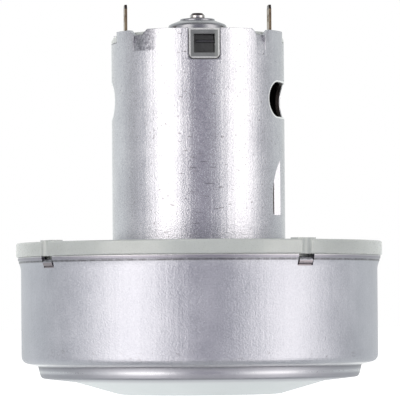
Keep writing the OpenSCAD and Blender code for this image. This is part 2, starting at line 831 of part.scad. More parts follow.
// Ferrite arc about the given angle
module magnet(angle) {
    color("dimgray") facing(angle)
        sector(magnet_half_angle, magnet_in, magnet_out, magnet_z, magnet_z + magnet_len);
}

module magnet_front() {
    magnet(can_turn);
}

module magnet_rear() {
    magnet(can_turn + 180);
}

// Cap's shoulder that fills a rim notch and rounds over to the deck
module cap_shoulder() {
    half = notch_half_angle - shoulder_gap / can_r * 180 / PI;
    root = cap_r - cap_chamfer - weld;
    rotate([0, 0, -half]) rotate_extrude(angle = 2 * half) polygon(rounded([
        [root, notch_z + shoulder_gap, 0],
        [can_r, notch_z + shoulder_gap, 0],
        [can_r, cap_z, cap_shoulder_r],
        [root, cap_z, 0],
    ]));
}

// Nylon cap: deck, skirt, shoulders and spring posts, with channels for holders and terminals
module end_cap() {
    slot_x = terminal_t + 2 * terminal_gap;
    slot_y = terminal_w + 2 * terminal_gap;
    channel = holder_w + 2 * holder_fit;
    relief = 0.15;
    color("honeydew") {
        difference() {
            union() {
                rotate_extrude() polygon([
                    [rear_bearing_d / 2 + 0.4, cap_low],
                    [cap_r - cap_wall, cap_low],
                    [cap_r - cap_wall, cap_z - cap_skirt],
                    [cap_r, cap_z - cap_skirt],
                    [cap_r, cap_z - cap_chamfer_h],
                    [cap_r - cap_chamfer, cap_z],
                    [rear_bearing_d / 2 + 0.4, cap_z],
                ]);
                for (a = [90, 270]) facing(a) cap_shoulder();
            }
            translate([0, 0, cap_low - 1]) cylinder(r = comm_r + 0.5, h = bar_top + 0.25 - cap_low + 1);
            for (a = [0, 180]) facing(a) {
                translate([holder_in - holder_fit, -channel / 2, holder_z - holder_fit])
                    cube([can_r, channel, 3 * tunnel_h]);
                translate([0, -channel / 2, cap_low - 1])
                    cube([holder_in, channel, brush_z + tunnel_h / 2 + relief - cap_low + 1]);
                translate([cap_r - 2 * cap_wall, 0, arm_z - arm_r - arm_room])
                    cube([3 * cap_wall, spring_x, spring_wire + 2 * arm_room]);
            }
            at_crimps() translate([can_in - crimp_bend - crimp_room, -crimp_w / 2, crimp_z - crimp_root])
                cube([can_wall + crimp_bend, crimp_w, 2 * crimp_h]);
            for (x = [-1, 1]) translate([x * terminal_x - slot_x / 2, -slot_y / 2, cap_low - 1])
                cube([slot_x, slot_y, cap_deck + 2]);
        }
        for (a = [0, 180]) facing(a) translate([spring_out, spring_x, cap_low - post_len])
            cylinder(r = post_r, h = post_len + cap_deck / 2);
    }
}

// Domed cup over the rear bearing
module rear_bearing_cup() {
    cavity = rear_bearing_d / 2 + bearing_seat_gap;
    color("gray") rotate_extrude() polygon(rounded([
        [cavity, cap_z, 0],
        [cup_d / 2, cap_z, 0],
        [cup_d / 2, cap_z + cup_wall_h, cup_r],
        [cup_tier_d / 2 + 0.2, cup_top - cup_tier_h, 0],
        [cup_tier_d / 2, cup_top - cup_tier_h, 0],
        [cup_tier_d / 2, cup_top, 0.3],
        [shaft_hole_d / 2, cup_top, 0],
        [shaft_hole_d / 2, rear_bearing_top + bearing_seat_gap, 0],
        [cavity, rear_bearing_top + bearing_seat_gap, 0],
    ]));
}

// Tab terminal on +X: an upright blade with a foot under the cap's deck
module terminal() {
    tip = can_top + terminal_out;
    hole_z = tip - terminal_taper - terminal_hole_d;
    color("darkkhaki") {
        difference() {
            along(terminal_x - terminal_t / 2, terminal_t) polygon([
                [-terminal_w / 2, cap_low - terminal_t],
                [terminal_w / 2, cap_low - terminal_t],
                [terminal_w / 2, tip - terminal_taper],
                [terminal_w / 2 - terminal_taper, tip],
                [terminal_taper - terminal_w / 2, tip],
                [-terminal_w / 2, tip - terminal_taper],
            ]);
            translate([terminal_x - 1, 0, hole_z]) rotate([0, 90, 0]) cylinder(d = terminal_hole_d, h = 2);
        }
        translate([terminal_x - terminal_foot, -terminal_w / 2, cap_low - terminal_t])
            cube([terminal_foot, terminal_w, terminal_t]);
    }
}

module terminal_left() {
    rotate([0, 0, 180]) terminal();
}

module terminal_right() {
    terminal();
}

// Moulded guide with the brush's tunnel and a side slot for the spring's arm
module brush_holder() {
    box_h = holder_top - holder_z;
    color("slategray") difference() {
        intersection() {
            union() {
                translate([0, 0, holder_z + box_h / 2]) along(holder_in, holder_out - holder_in)
                    rounded_rect(holder_w, box_h, holder_r);
                translate([holder_in, -holder_w / 2, holder_z + box_h / 2])
                    cube([holder_out - holder_in, holder_w, box_h / 2]);
            }
            cylinder(r = holder_out, h = can_top + 10);
        }
        translate([0, -tunnel_w / 2, brush_z - tunnel_h / 2]) cube([can_r + 1, tunnel_w, tunnel_h]);
        translate([brush_out - 1.4, 0, arm_z - arm_r - arm_room])
            cube([1.4 + brush_travel + 2 * arm_room + spring_wire, holder_w, spring_wire + 2 * arm_room]);
    }
}

module brush_holder_front() {
    facing(0) brush_holder();
}

module brush_holder_rear() {
    facing(180) brush_holder();
}

// Carbon block with its end worn to the commutator
module brush() {
    color("darkslategray") difference() {
        translate([comm_r - 1, -brush_w / 2, brush_z - brush_h / 2])
            cube([brush_out - comm_r + 1, brush_w, brush_h]);
        cylinder(r = brush_in, h = can_top + 10);
    }
}

module brush_front() {
    facing(0) brush();
}

module brush_rear() {
    facing(180) brush();
}

// Route of a torsion spring: leg, coil and the arm across the brush's outer end
spring_low = arm_z - spring_turns * spring_pitch;
spring_route = concat(
    [[spring_out - 4, spring_x - spring_r, spring_low], [spring_out - 2, spring_x - spring_r, spring_low]],
    [for (i = [0:8 * spring_turns])
        let (a = i * 45 - 90)
        [spring_out + spring_r * cos(a), spring_x + spring_r * sin(a), spring_low + i / 8 * spring_pitch]],
    [
        [spring_out + 2.2, spring_x - spring_r - 0.1, arm_z],
        [arm_y - 0.2, holder_w / 2 + 0.1, arm_z],
        [arm_y, tunnel_w / 2 - 0.1, arm_z],
        [arm_y, 0.6 - tunnel_w / 2, arm_z],
    ]
);

// Least air between two parts of the wire that are not neighbours
spring_air = min([for (i = [0:len(spring_route) - 5], j = [i + 4:len(spring_route) - 1])
    norm(spring_route[i] - spring_route[j])]) - spring_wire;
echo(spring_air = spring_air);

// Wire swept along a route, with six sides
module wire(route, r) {
    last = len(route) - 1;
    function heading(i) = unit(route[min(i + 1, last)] - route[max(i - 1, 0)]);
    rings = [for (i = [0:last])
        let (d = heading(i), u = unit(cross([0, 0, 1], d)), v = cross(d, u))
        for (k = [0:5]) route[i] + r * (u * cos(60 * k) + v * sin(60 * k))];
    walls = [for (i = [0:last - 1], k = [0:5])
        let (a = 6 * i + k, b = 6 * i + (k + 1) % 6)
        for (f = [[a, b, b + 6], [a, b + 6, a + 6]]) f];
    ends = [for (k = [1:4]) for (f = [[0, k + 1, k], [6 * last, 6 * last + k, 6 * last + k + 1]]) f];
    polyhedron(rings, concat(walls, ends), convexity = 6);
}

module brush_spring_front() {
    color("lightgray") facing(0) wire(spring_route, arm_r);
}

module brush_spring_rear() {
    color("lightgray") facing(180) wire(spring_route, arm_r);
}

module shaft() {
    color("whitesmoke") rotate_extrude() polygon([
        [0, shaft_start],
        [shaft_r - shaft_chamfer, shaft_start],
        [shaft_r, shaft_start + shaft_chamfer],
        [shaft_r, shaft_end - shaft_chamfer],
        [shaft_r - shaft_chamfer, shaft_end],
        [0, shaft_end],
    ]);
}

// Sleeves that set the core between the front washer and the commutator
module shaft_spacers() {
    front = front_bearing_top + end_play + washer_t;
    rear = core_top + insulator_t;
    color("tan") {
        tube(spacer_d / 2, bore_r, front, core_z - insulator_t - front);
        tube(spacer_d / 2, bore_r, rear, bar_z - hub_foot - rear);
    }
}

module thrust_washers() {
    color("brown") {
        tube(washer_d / 2, bore_r, front_bearing_top + end_play, washer_t);
        tube(washer_d / 2, bore_r, comm_top, washer_t);
    }
}

// Teeth with wide tips round a yoke
module core_outline() {
    difference() {
        union() {
            circle(yoke_r);
            for (i = [0:slots - 1]) rotate(i * 360 / slots) translate([0, -tooth_w / 2])
                square([core_r - tip_t / 2, tooth_w]);
            difference() {
                circle(core_r);
                circle(tip_in);
            }
        }
        circle(bore_r);
        for (i = [0:slots - 1]) rotate((i + 0.5) * 360 / slots) translate([tip_in - 1, -slot_open / 2])
            square([tip_t + 3, slot_open]);
    }
}

module rotor_core() {
    color("slategray") translate([0, 0, core_z]) linear_extrude(core_len) core_outline();
}

module core_insulators() {
    color("darkgreen") for (z = [core_z - insulator_t, core_top])
        translate([0, 0, z]) linear_extrude(insulator_t) core_outline();
}

// One coil round each tooth
module rotor_windings() {
    outer_h = coil_in_h + 2 * coil_end;
    color("chocolate") for (i = [0:slots - 1]) rotate([0, 0, i * 360 / slots])
        translate([0, 0, core_z + core_len / 2]) along(coil_x, coil_end_x - coil_x) difference() {
            rounded_rect(2 * coil_y, outer_h, coil_end * 0.8);
            square([2 * coil_in_y, coil_in_h], center = true);
        }
}

module commutator_hub() {
    hub_r = comm_r - bar_t - 0.02;
    color("saddlebrown") difference() {
        rotate_extrude() polygon([
            [0, bar_z - hub_foot],
            [spacer_d / 2 + 0.5, bar_z - hub_foot],
            [hub_r, bar_z - hub_foot + 0.8],
            [hub_r, bar_top],
            [washer_d / 2, bar_top],
            [washer_d / 2, comm_top],
            [0, comm_top],
        ]);
        cylinder(r = bore_r, h = can_top + 10);
    }
}

// Copper bars, each with a tang for its coil's wire
module commutator_bars() {
    half = 180 / slots - bar_gap / comm_r * 90 / PI;
    color("peru") for (i = [0:slots - 1]) rotate([0, 0, (i + 0.5) * 360 / slots]) {
        sector(half, comm_r - bar_t, comm_r, bar_z, bar_top);
        translate([comm_r - bar_t / 2, -tang_w / 2, bar_z]) cube([bar_t / 2 + tang_out, tang_w, tang_h]);
    }
}

// Flanged brass bush that carries the disc
module impeller_hub() {
    c = 0.4;
    color("goldenrod") rotate_extrude() polygon([
        [bore_r, hub_z],
        [hub_d / 2 - c, hub_z],
        [hub_d / 2, hub_z + c],
        [hub_d / 2, disc_top],
        [hub_flange_d / 2, disc_top],
        [hub_flange_d / 2, hub_top - c],
        [hub_flange_d / 2 - c, hub_top],
        [bore_r, hub_top],
    ]);
}

module impeller_disc() {
    color("gainsboro") tube(impeller_r, hub_d / 2 + press_gap, disc_z, impeller_sheet);
}

// Backward-curved blades between the shroud's cone and the disc
module impeller_blades() {
    blade_out = impeller_r - blade_rim;
    blade_in = eye_r - blade_inset;
    inside = shifted(rounded(shroud_path), impeller_sheet + blade_seam);
    slope = [for (i = [0:len(inside) - 2]) inside[i]];
    low = slope[len(slope) - 1][1];
    room = concat([[impeller_r + 1, disc_z], [impeller_r + 1, slope[0][1]]], slope, [[0, low], [0, disc_z]]);
    color("gainsboro") intersection() {
        translate([0, 0, eye_z]) linear_extrude(disc_z - eye_z)
            for (i = [0:blade_count - 1]) rotate(i * 360 / blade_count)
                swept_blade(blade_in, blade_out, blade_in_angle, blade_out_angle, blade_t);
        rotate_extrude() polygon(room);
    }
}

module impeller_shroud() {
    color("gainsboro") rotate_extrude() polygon(sheet(shroud_path, impeller_sheet));
}

fan_cover();
diffuser_plate();
motor_can();
motor_screws();
front_bearing();
magnet_front();
magnet_rear();
end_cap();
rear_bearing_cup();
rear_bearing();
terminal_left();
terminal_right();
brush_holder_front();
brush_holder_rear();
brush_front();
brush_rear();
brush_spring_front();
brush_spring_rear();
shaft();
shaft_spacers();
thrust_washers();
rotor_core();
core_insulators();
rotor_windings();
commutator_hub();
commutator_bars();
impeller_hub();
impeller_disc();
impeller_blades();
impeller_shroud();
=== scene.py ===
"""Looks of the vacuum motor unit: finishes for its solids, wound pieces as real wire, and a white studio."""
import json
import math

import bmesh
import bpy
from mathutils import Matrix, Quaternion, Vector


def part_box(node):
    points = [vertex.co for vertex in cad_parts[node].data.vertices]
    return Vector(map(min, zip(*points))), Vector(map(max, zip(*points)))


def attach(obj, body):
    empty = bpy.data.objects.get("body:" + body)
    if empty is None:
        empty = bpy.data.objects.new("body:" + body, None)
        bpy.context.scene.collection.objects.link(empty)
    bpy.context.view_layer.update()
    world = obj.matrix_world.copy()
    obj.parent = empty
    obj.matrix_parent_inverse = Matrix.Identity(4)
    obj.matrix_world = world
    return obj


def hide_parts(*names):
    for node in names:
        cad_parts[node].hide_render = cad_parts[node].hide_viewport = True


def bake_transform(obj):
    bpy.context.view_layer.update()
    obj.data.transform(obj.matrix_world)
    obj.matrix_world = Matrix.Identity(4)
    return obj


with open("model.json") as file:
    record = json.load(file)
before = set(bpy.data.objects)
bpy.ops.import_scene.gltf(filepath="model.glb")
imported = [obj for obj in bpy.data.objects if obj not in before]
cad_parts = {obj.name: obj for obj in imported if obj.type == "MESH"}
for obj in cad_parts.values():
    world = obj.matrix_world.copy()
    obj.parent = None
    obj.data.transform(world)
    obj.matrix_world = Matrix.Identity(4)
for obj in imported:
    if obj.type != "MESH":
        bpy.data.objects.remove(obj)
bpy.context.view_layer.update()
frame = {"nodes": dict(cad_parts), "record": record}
MM = 0.001
WHITE = (1.0, 1.0, 1.0)

# Camera, a little left of the front brush holder: places in metres, lens and sensor in millimetres
CAMERA_TURN = math.radians(-4.5)
CAMERA_DISTANCE = 0.768
CAMERA_HEIGHT = 0.0168
CAMERA_AIM = 0.0404
CAMERA_SIDE = 0.00027
CAMERA_ROLL = math.radians(-0.42)
CAMERA_LENS = 331.6
CAMERA_SENSOR = 36
CAMERA_NEAR = 0.05
CAMERA_FAR = 50

# Softboxes: turn from the camera's own direction and width in degrees, and strength, with sizes in metres
SOFTBOXES = {
    "softbox_left": (-42.5, 39, 2.62),
    "softbox_right": (58.2, 37.5, 2.35),
}
SOFTBOX_DISTANCE = 0.7
SOFTBOX_TALL = 0.8
SOFTBOX_MIDDLE = 0.4
SOFTBOX_LIGHT = (1.0, 0.985, 0.965)
SOFTBOX_FACE = (1.0, 0.957, 0.915)

# Cards that only reflections show: turn, width, colour and strength, then a ring below and a ceiling
WALL_TINT = (0.972, 1.0, 0.98)
CARDS = {
    "camera_card": (4, 38, (1.0, 0.96, 1.08), 0.50),
    "left_flag": (-98, 18, WHITE, 0.65),
    "right_flag": (101, 18, WHITE, 0.7),
    "left_wall": (-143, 72, WALL_TINT, 1.05),
    "right_wall": (145, 70, WALL_TINT, 0.94),
}
CARD_DISTANCE = 0.6
CARD_TALL = 1.9
CARD_MIDDLE = -0.1
LOW_SHADE_DEPTH = 1.1
LOW_SHADE_RADII = (0.22, 1.18)
LOW_SHADE_SIDES = 64
LOW_SHADE_GREY = 0.5
CEILING_HEIGHT = 0.85
CEILING_SIZE = 2.2
CEILING_GREY = 0.5

# World and floor
WORLD_FILL = 0.25
FLOOR_SIZE = 6
FLOOR_DROP = 0.00002
FLOOR_COLOUR = (0.8, 0.8, 0.8, 1)
FLOOR_ROUGHNESS = 0.9
FLOOR_GLOW = 0.9

# Noise: usual reach, textures as detail and roughness, sizes in millimetres, and stretch along X, Y and Z
NOISE_REACH = (0.3, 0.7)
SKIN_REACH = (0.25, 0.75)
CLOUD_TEXTURE = (4, 0.6)
SAND_TEXTURE = (2, 0.7)
SKIN_TEXTURE = (2, 0.5)
CLOUD_SIZE = 9
TARNISH_SIZE = 2.5
DRAW_LINES = (0.9, 3, 0.6)
ALONG_SHAFT = (1, 1, 0.015)
ROUND_SHAFT = (0.02, 0.02, 1)

# Samples that smooth a rolled edge
EDGE_SAMPLES = 6

# How far clouds, lines and sand move a sheet's tone, and how far the roughness of each finish swings
CLOUD_TONE = 0.6
LINE_TONE = 0.15
SAND_LIFT = 0.15
SHEET_SWING = 0.04
RESIN_SWING = 0.06
TURNED_SWING = (-0.06, 0.08)

# Fan cover: bands as low, high and fade, and levels between which a mark grows, in millimetres of height
NOSE_LEVELS = (3.2, 2.6)
RING_BAND = (3.5, 5.8, 0.15)
CREST_BAND = (4.65, 5.05, 0.35)
CREASE_BAND = (5.65, 6.05, 0.12)
EVEN_LEVELS = (6.4, 5.9)
SHOULDER_BAND = (6.1, 6.5, 0.15)
SCUFF_BAND = (7.2, 9.5, 0.8)
TONGUE_BAND = (26.2, 27.25, 0.05)
GROOVE_BAND = (27.34, 27.76, 0.1)
RIM_LEVELS = (27.76, 27.96)
RIM_EDGE_LEVELS = (28.3, 28.45)

# Fan cover: radii in millimetres, and the tongues' turn and half width in degrees, their fade as a cosine
RING_RADIUS = 34.3
SHOULDER_RADII = (33.3, 33.7)
TONGUE_COUNT = 4
TONGUE_TURN = 30.4
TONGUE_HALF = 2.75
TONGUE_SIDE_FADE = 0.002

# Fan cover: noises as size, detail and roughness, and cuts as noise levels with the strengths they give
GROOVE_SHADE_NOISE = (1.2, 3, 0.7)
GROOVE_CUT = (0.35, 0.55, 0.65, 1)
SCUFFS = (0.7, 4, 0.75)
SCUFF_STRETCH = (0.6, 0.6, 1)
SCUFF_WARP = 0.5
SCUFF_CUT = (0.56, 0.68)
SCUFF_PATCHES = (7, 3, 0.6)
SCUFF_PATCH_CUT = (0.45, 0.62)

# Fan cover: colours and covers for real scuffs and for painted light and shade, and changes of roughness and
# grain
PIT_BROWN = (0.13, 0.115, 0.12)
# Painted shade: crease, flanks, groove, rim band and tongues; painted highlight: crest and shoulder edge;
# painted light: the rim's top edge; painted reflection: the nose
CREASE_SHADE_GREY = (0.10, 0.10, 0.11)
CREST_HIGHLIGHT = ((0.60, 0.61, 0.64), 0.8)
CREST_POLISH = 0.23
FLANK_SHADE = ((0.30, 0.305, 0.34), 0.75)
FLANK_DULLNESS = 0.1
RING_EVENNESS = 0.75
CREASE_SHADE = (CREASE_SHADE_GREY, 0.45)
GROOVE_SHADE = (CREASE_SHADE_GREY, 0.85)
SHOULDER_HIGHLIGHT = ((0.93, 0.935, 0.96), 1.0)
RIM_SHADE = ((0.28, 0.27, 0.315), 0.85)
RIM_EDGE_LIGHT = ((0.53, 0.535, 0.55), 1.0)
NOSE_REFLECTION = ((0.70, 0.73, 0.755), 1.0)
SCUFF_STAIN = (PIT_BROWN, 0.8)
TONGUE_SHADE = ((0.20, 0.16, 0.17), 0.7)

# Motor can: noises and their cuts
PITS = (0.3, 3, 0.8)
PIT_WARP = 0.6
PIT_CUT = (0.55, 0.70)
PIT_PATCHES = (7, 5, 0.7)
PIT_PATCH_CUT = (0.46, 0.70, 0.05, 1)
SCRATCHES = (0.45, 1, 0.5)
SCRATCH_STRETCH = (0.12, 1, 1)
SCRATCH_TURN = (0, 0.3, 0.1)
SCRATCH_CUT = (0.68, 0.76)
DENT_BREAKUP = (0.5, 3, 0.7)
DENT_BREAKUP_CUT = (0.35, 0.6, 0.3, 1)

# Motor can in millimetres and degrees: crimps' painted shade as turn, half width, low end and cover, and the
# vent slots
CRIMP_PAIRS = ((-43, 8.5, 70.7, 0.85), (43.8, 7, 72.6, 0.25))
CRIMPS_IN_PAIR = 2
CRIMP_SIDE_FADE = 0.03
CRIMP_TOP = 75.6
CRIMP_FADE = 0.15
OUTLINE_WIDTHS = (0.4, 0.1)
CAN_INSIDE = 17.05
VENT_EDGE = 17.8
VENT_BAND = (57.0, 64.8, 0.1)
VENT_TURN = 76.3
VENT_ARC = 52
VENT_RADIUS = 18.0
VENT_LEVEL = 60.9
VENT_HIGH = 7.2
CUT_BAND = (0.02, 0.3, 0.06)

# Motor can: colours and covers for real pits and scratches and for painted shade and highlights, and the
# added roughness of its inside
# Painted shade: crimp dents, holder outlines and the can's inside; painted highlight: the vent slots' cut
# edges
DENT_SHADE_GREY = (0.125, 0.125, 0.15)
PIT_STAIN = (PIT_BROWN, 0.6)
SCRATCH_STAIN = (PIT_BROWN, 0.5)
OUTLINE_SHADE = (DENT_SHADE_GREY, 0.75)
CUT_HIGHLIGHT = ((0.95, 0.95, 0.96), 1.0)
INSIDE_SHADE = ((0.045, 0.038, 0.036), 1.0)
INSIDE_DULLNESS = 0.25

# Brush holders in millimetres: grain, clouds and the painted highlight along the outer edges
HOLDER_EDGE = 0.6
HOLDER_GRAIN = (0.2, 3, 0.6)
HOLDER_GRAIN_DEPTH = 0.004
HOLDER_CLOUDS = (3, 3, 0.6)
HOLDER_ROUGHNESS = (0.22, 0.32)
HOLDER_DARK = (0.13, 0.14, 0.14)
HOLDER_LIGHT = (0.18, 0.19, 0.19)
EDGE_HIGHLIGHT_WIDTHS = (-0.42, -0.25)
EDGE_HIGHLIGHT_CUT = (0.3, 0.6, 0.6, 1)
EDGE_HIGHLIGHT_GREY = (0.78, 0.785, 0.80)

# Shaft end and terminal tips: heights in millimetres from which they are dark, and the band left undarkened
DARK_TOP_BROWN = (0.05, 0.036, 0.034)
DARK_TOP_FADE = 0.1
SHAFT_DARK_FROM = 77.9
SHAFT_UNDARKENED_BAND = (78.45, 78.95, 0.05)
TAB_DARK_FROM = 80.2

# Brush springs in millimetres: out from the shaft, to the right of the brush, and up
SPRING_WIRE = 0.5
SPRING_COIL = (10.9, 5.7)
SPRING_RADIUS = 1.75
SPRING_TURNS = 3
SPRING_PITCH = 0.95
SPRING_LEG = 4
SPRING_STEPS = 12
SPRING_ARM = [(13.1, 3.85), (15.45, 3.25), (15.65, 2.05), (15.65, -1.55)]

# Coils in millimetres: each tooth carries layers of wire, and leads run up to the commutator
TEETH = 5
COIL_WIRE = 0.44
COIL_START = 5.9
COIL_END = 9.27
COIL_TURNS = 7
COIL_LAYERS = 4
COIL_HALF_WIDTH = 2.25
COIL_HALF_HEIGHT = 11.95
COIL_MIDDLE = 44
COIL_CORNER = 0.55
COIL_CORNER_STEPS = 4
LEAD_FOOT = (7.6, 57.4)
LEAD_BELLY = (8.3, 61.5)
LEAD_HOOK = (6.2, 66.3)
LEAD_SPREAD = 9

# Wire of springs and coils: how finely it is rounded, and its steps between two points of a route
WIRE_ROUNDNESS = 2
WIRE_STEPS = 5


def around(turn, distance, height):
    """A point round the shaft, turned from the camera's direction."""
    angle = CAMERA_TURN + math.radians(turn)
    return Vector((math.sin(angle) * distance, -math.cos(angle) * distance, height))


def aimed(obj, target):
    """Points an object's -Z at a target and keeps its Y up."""
    obj.rotation_mode = "QUATERNION"
    obj.rotation_quaternion = (target - obj.location).to_track_quat("-Z", "Y")


def place(name, data):
    obj = bpy.data.objects.new(name, data)
    bpy.context.scene.collection.objects.link(obj)
    return obj


def make_camera():
    data = bpy.data.cameras.new("camera")
    data.sensor_width = CAMERA_SENSOR
    data.lens = CAMERA_LENS
    data.clip_start = CAMERA_NEAR
    data.clip_end = CAMERA_FAR
    camera = place("camera", data)
    side = around(90, CAMERA_SIDE, 0)
    camera.location = around(0, CAMERA_DISTANCE, CAMERA_HEIGHT) + side
    aimed(camera, Vector((0, 0, CAMERA_AIM)) + side)
    camera.rotation_quaternion @= Quaternion((0, 0, 1), CAMERA_ROLL)
    bpy.context.scene.camera = camera


class Finish:
    """A node material: edges rolled over by a press or mould, in millimetres, then layers of detail."""

    def __init__(self, name, edge, **sockets):
        self.material = bpy.data.materials.new(name)
        self.material.use_nodes = True
        self.tree = self.material.node_tree
        self.shader = self.tree.nodes["Principled BSDF"]
        bevel = self.add("ShaderNodeBevel", {"Radius": edge * MM}, samples=EDGE_SAMPLES)
        self.normal = bevel.outputs["Normal"]
        for socket, value in sockets.items():
            self.shader.inputs[socket.replace("_", " ")].default_value = value

    def add(self, kind, inputs=None, **settings):
        node = self.tree.nodes.new(kind)
        for name, value in settings.items():
            setattr(node, name, value)
        for name, value in (inputs or {}).items():
            if isinstance(value, bpy.types.NodeSocket):
                self.tree.links.new(value, node.inputs[name])
            else:
                node.inputs[name].default_value = value
        return node

    def link(self, source, socket):
        self.tree.links.new(source, self.shader.inputs[socket])

    def place(self, stretch=(1, 1, 1), turn=(0, 0, 0)):
        coords = self.add("ShaderNodeTexCoord").outputs["Object"]
        inputs = {"Vector": coords, "Scale": stretch, "Rotation": turn}
        return self.add("ShaderNodeMapping", inputs).outputs["Vector"]

    def spot(self):
        """A place's X, Y and Z in millimetres."""
        scaled = self.place((1 / MM, 1 / MM, 1 / MM))
        return self.add("ShaderNodeSeparateXYZ", {"Vector": scaled}).outputs

    def height(self):
        """Height above the inlet face in millimetres."""
        return self.spot()["Z"]

    def from_axis(self):
        """Distance from the shaft's axis in millimetres."""
        scaled = self.place((1 / MM, 1 / MM, 0))
        return self.add("ShaderNodeVectorMath", {"Vector": scaled}, operation="LENGTH").outputs["Value"]

    def from_front(self, turn):
        """Angle round the shaft in radians, counted from a turn off the front in degrees."""
        spot = self.spot()
        angle = self.math("ARCTAN2", spot["X"], self.math("MULTIPLY", spot["Y"], -1))
        return self.math("SUBTRACT", angle, math.radians(turn))

    def band(self, value, low, high, soft):
        """1 between low and high, fading over soft at both ends."""
        rise = self.span(value, low - soft, low + soft)
        return self.math("MULTIPLY", rise, self.span(value, high + soft, high - soft))

    def past_box(self, node):
        """How far outside a node's box a place lies, seen from the front, in millimetres."""
        low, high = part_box(node)
        middle = (low + high) / 2 / MM
        half = (high - low) / 2 / MM
        spot = self.spot()
        aside = self.math("ABSOLUTE", self.math("SUBTRACT", spot["X"], middle.x))
        above = self.math("ABSOLUTE", self.math("SUBTRACT", spot["Z"], middle.z))
        aside = self.math("SUBTRACT", aside, half.x)
        return self.math("MAXIMUM", aside, self.math("SUBTRACT", above, half.z))

    def past_slot(self, turn, arc, radius, level, high):
        """How far outside two opposite round-ended slots a place lies, in millimetres along the surface."""
        swing = self.math("ARCSINE", self.math("SINE", self.from_front(turn)))
        aside = self.math("MULTIPLY", self.math("ABSOLUTE", swing), radius)
        straight = math.radians(arc / 2) * radius - high / 2
        aside = self.math("MAXIMUM", self.math("SUBTRACT", aside, straight), 0)
        above = self.math("SUBTRACT", self.height(), level)
        reach = self.math("ADD", self.math("MULTIPLY", aside, aside), self.math("MULTIPLY", above, above))
        return self.math("SUBTRACT", self.math("SQRT", reach), high / 2)

    def at_angles(self, count, turn, half, soft):
        """1 at evenly spaced angles from the front, within half of each, in degrees."""
        wave = self.math("COSINE", self.math("MULTIPLY", self.from_front(turn), count))
        edge = math.cos(math.radians(half * count))
        return self.span(wave, edge - soft, edge + soft)

    def noise(self, size, detail, rough, stretch=(1, 1, 1), warp=0.0, turn=(0, 0, 0)):
        """Noise with features of about this size in millimetres."""
        inputs = {"Vector": self.place(stretch, turn), "Scale": 1 / (size * MM), "Detail": detail,
                  "Roughness": rough, "Distortion": warp}
        return self.add("ShaderNodeTexNoise", inputs).outputs["Fac"]

    def span(self, value, low, high, start=0.0, end=1.0):
        """Maps low..high to start..end."""
        inputs = {"Value": value, "From Min": low, "From Max": high, "To Min": start, "To Max": end}
        return self.add("ShaderNodeMapRange", inputs).outputs["Result"]

    def spread(self, noise, start=0.0, end=1.0):
        """Maps the usual reach of a noise to start..end."""
        return self.span(noise, *NOISE_REACH, start, end)

    def math(self, operation, a, b=0.0):
        node = self.add("ShaderNodeMath", operation=operation)
        for index, value in enumerate((a, b)):
            if isinstance(value, bpy.types.NodeSocket):
                self.tree.links.new(value, node.inputs[index])
            else:
                node.inputs[index].default_value = value
        return node.outputs["Value"]

    def mix(self, factor, a, b):
        """Mixes two colours or colour sockets."""
        node = self.add("ShaderNodeMix", data_type="RGBA")
        for name, value in (("Factor", factor), ("A", a), ("B", b)):
            socket = next(s for s in node.inputs if s.name == name and s.enabled)
            if isinstance(value, bpy.types.NodeSocket):
                self.tree.links.new(value, socket)
            else:
                socket.default_value = (*value, 1)
        return next(s for s in node.outputs if s.enabled)

    def bump(self, height, depth):
        """Raises the surface by a height map, depth in millimetres."""
        inputs = {"Height": height, "Distance": depth * MM, "Strength": 1.0, "Normal": self.normal}
        self.normal = self.add("ShaderNodeBump", inputs).outputs["Normal"]

    def done(self):
        self.link(self.normal, "Normal")
        return self.material


class Sheet(Finish):
    """Plated or rolled sheet: sandy grain, clouds and faint draw lines, and then a piece's own marks and its
    painted light and shade.
    """

    def __init__(self, name, dark, light, rough, grain, depth, speckle, edge, draw):
        super().__init__(name, edge, Metallic=1.0)
        self.depth = depth
        self.draw = draw
        cloud = self.noise(CLOUD_SIZE, *CLOUD_TEXTURE)
        self.sand = self.noise(grain, *SAND_TEXTURE)
        self.lines = self.noise(*DRAW_LINES, stretch=ALONG_SHAFT)
        tone = self.math("ADD", self.spread(cloud, 0, CLOUD_TONE), self.spread(self.lines, 0, LINE_TONE))
        tone = self.math("ADD", tone, self.spread(self.sand, -speckle, speckle + SAND_LIFT))
        self.colour = self.mix(tone, dark, light)
        clouded = self.spread(cloud, rough - SHEET_SWING, rough + SHEET_SWING)
        self.rough = self.math("ADD", clouded, self.spread(self.sand, -SHEET_SWING, SHEET_SWING))

    def stain_or_light(self, mask, colour, cover):
        """Lays a colour over the sheet, for real stains and for painted light and shade alike."""
        self.colour = self.mix(self.math("MULTIPLY", mask, cover), self.colour, colour)

    def roughen(self, mask, change):
        """Dulls the sheet, or polishes it where the change is below zero."""
        self.rough = self.math("ADD", self.rough, self.math("MULTIPLY", mask, change))

    def level(self, mask, amount):
        """Evens out the grain and the draw lines."""
        kept = self.math("SUBTRACT", 1, self.math("MULTIPLY", mask, amount))
        self.sand = self.math("MULTIPLY", self.sand, kept)
        self.lines = self.math("MULTIPLY", self.lines, kept)

    def done(self):
        self.link(self.colour, "Base Color")
        self.link(self.rough, "Roughness")
        self.bump(self.sand, self.depth)
        self.bump(self.lines, self.draw)
        return super().done()


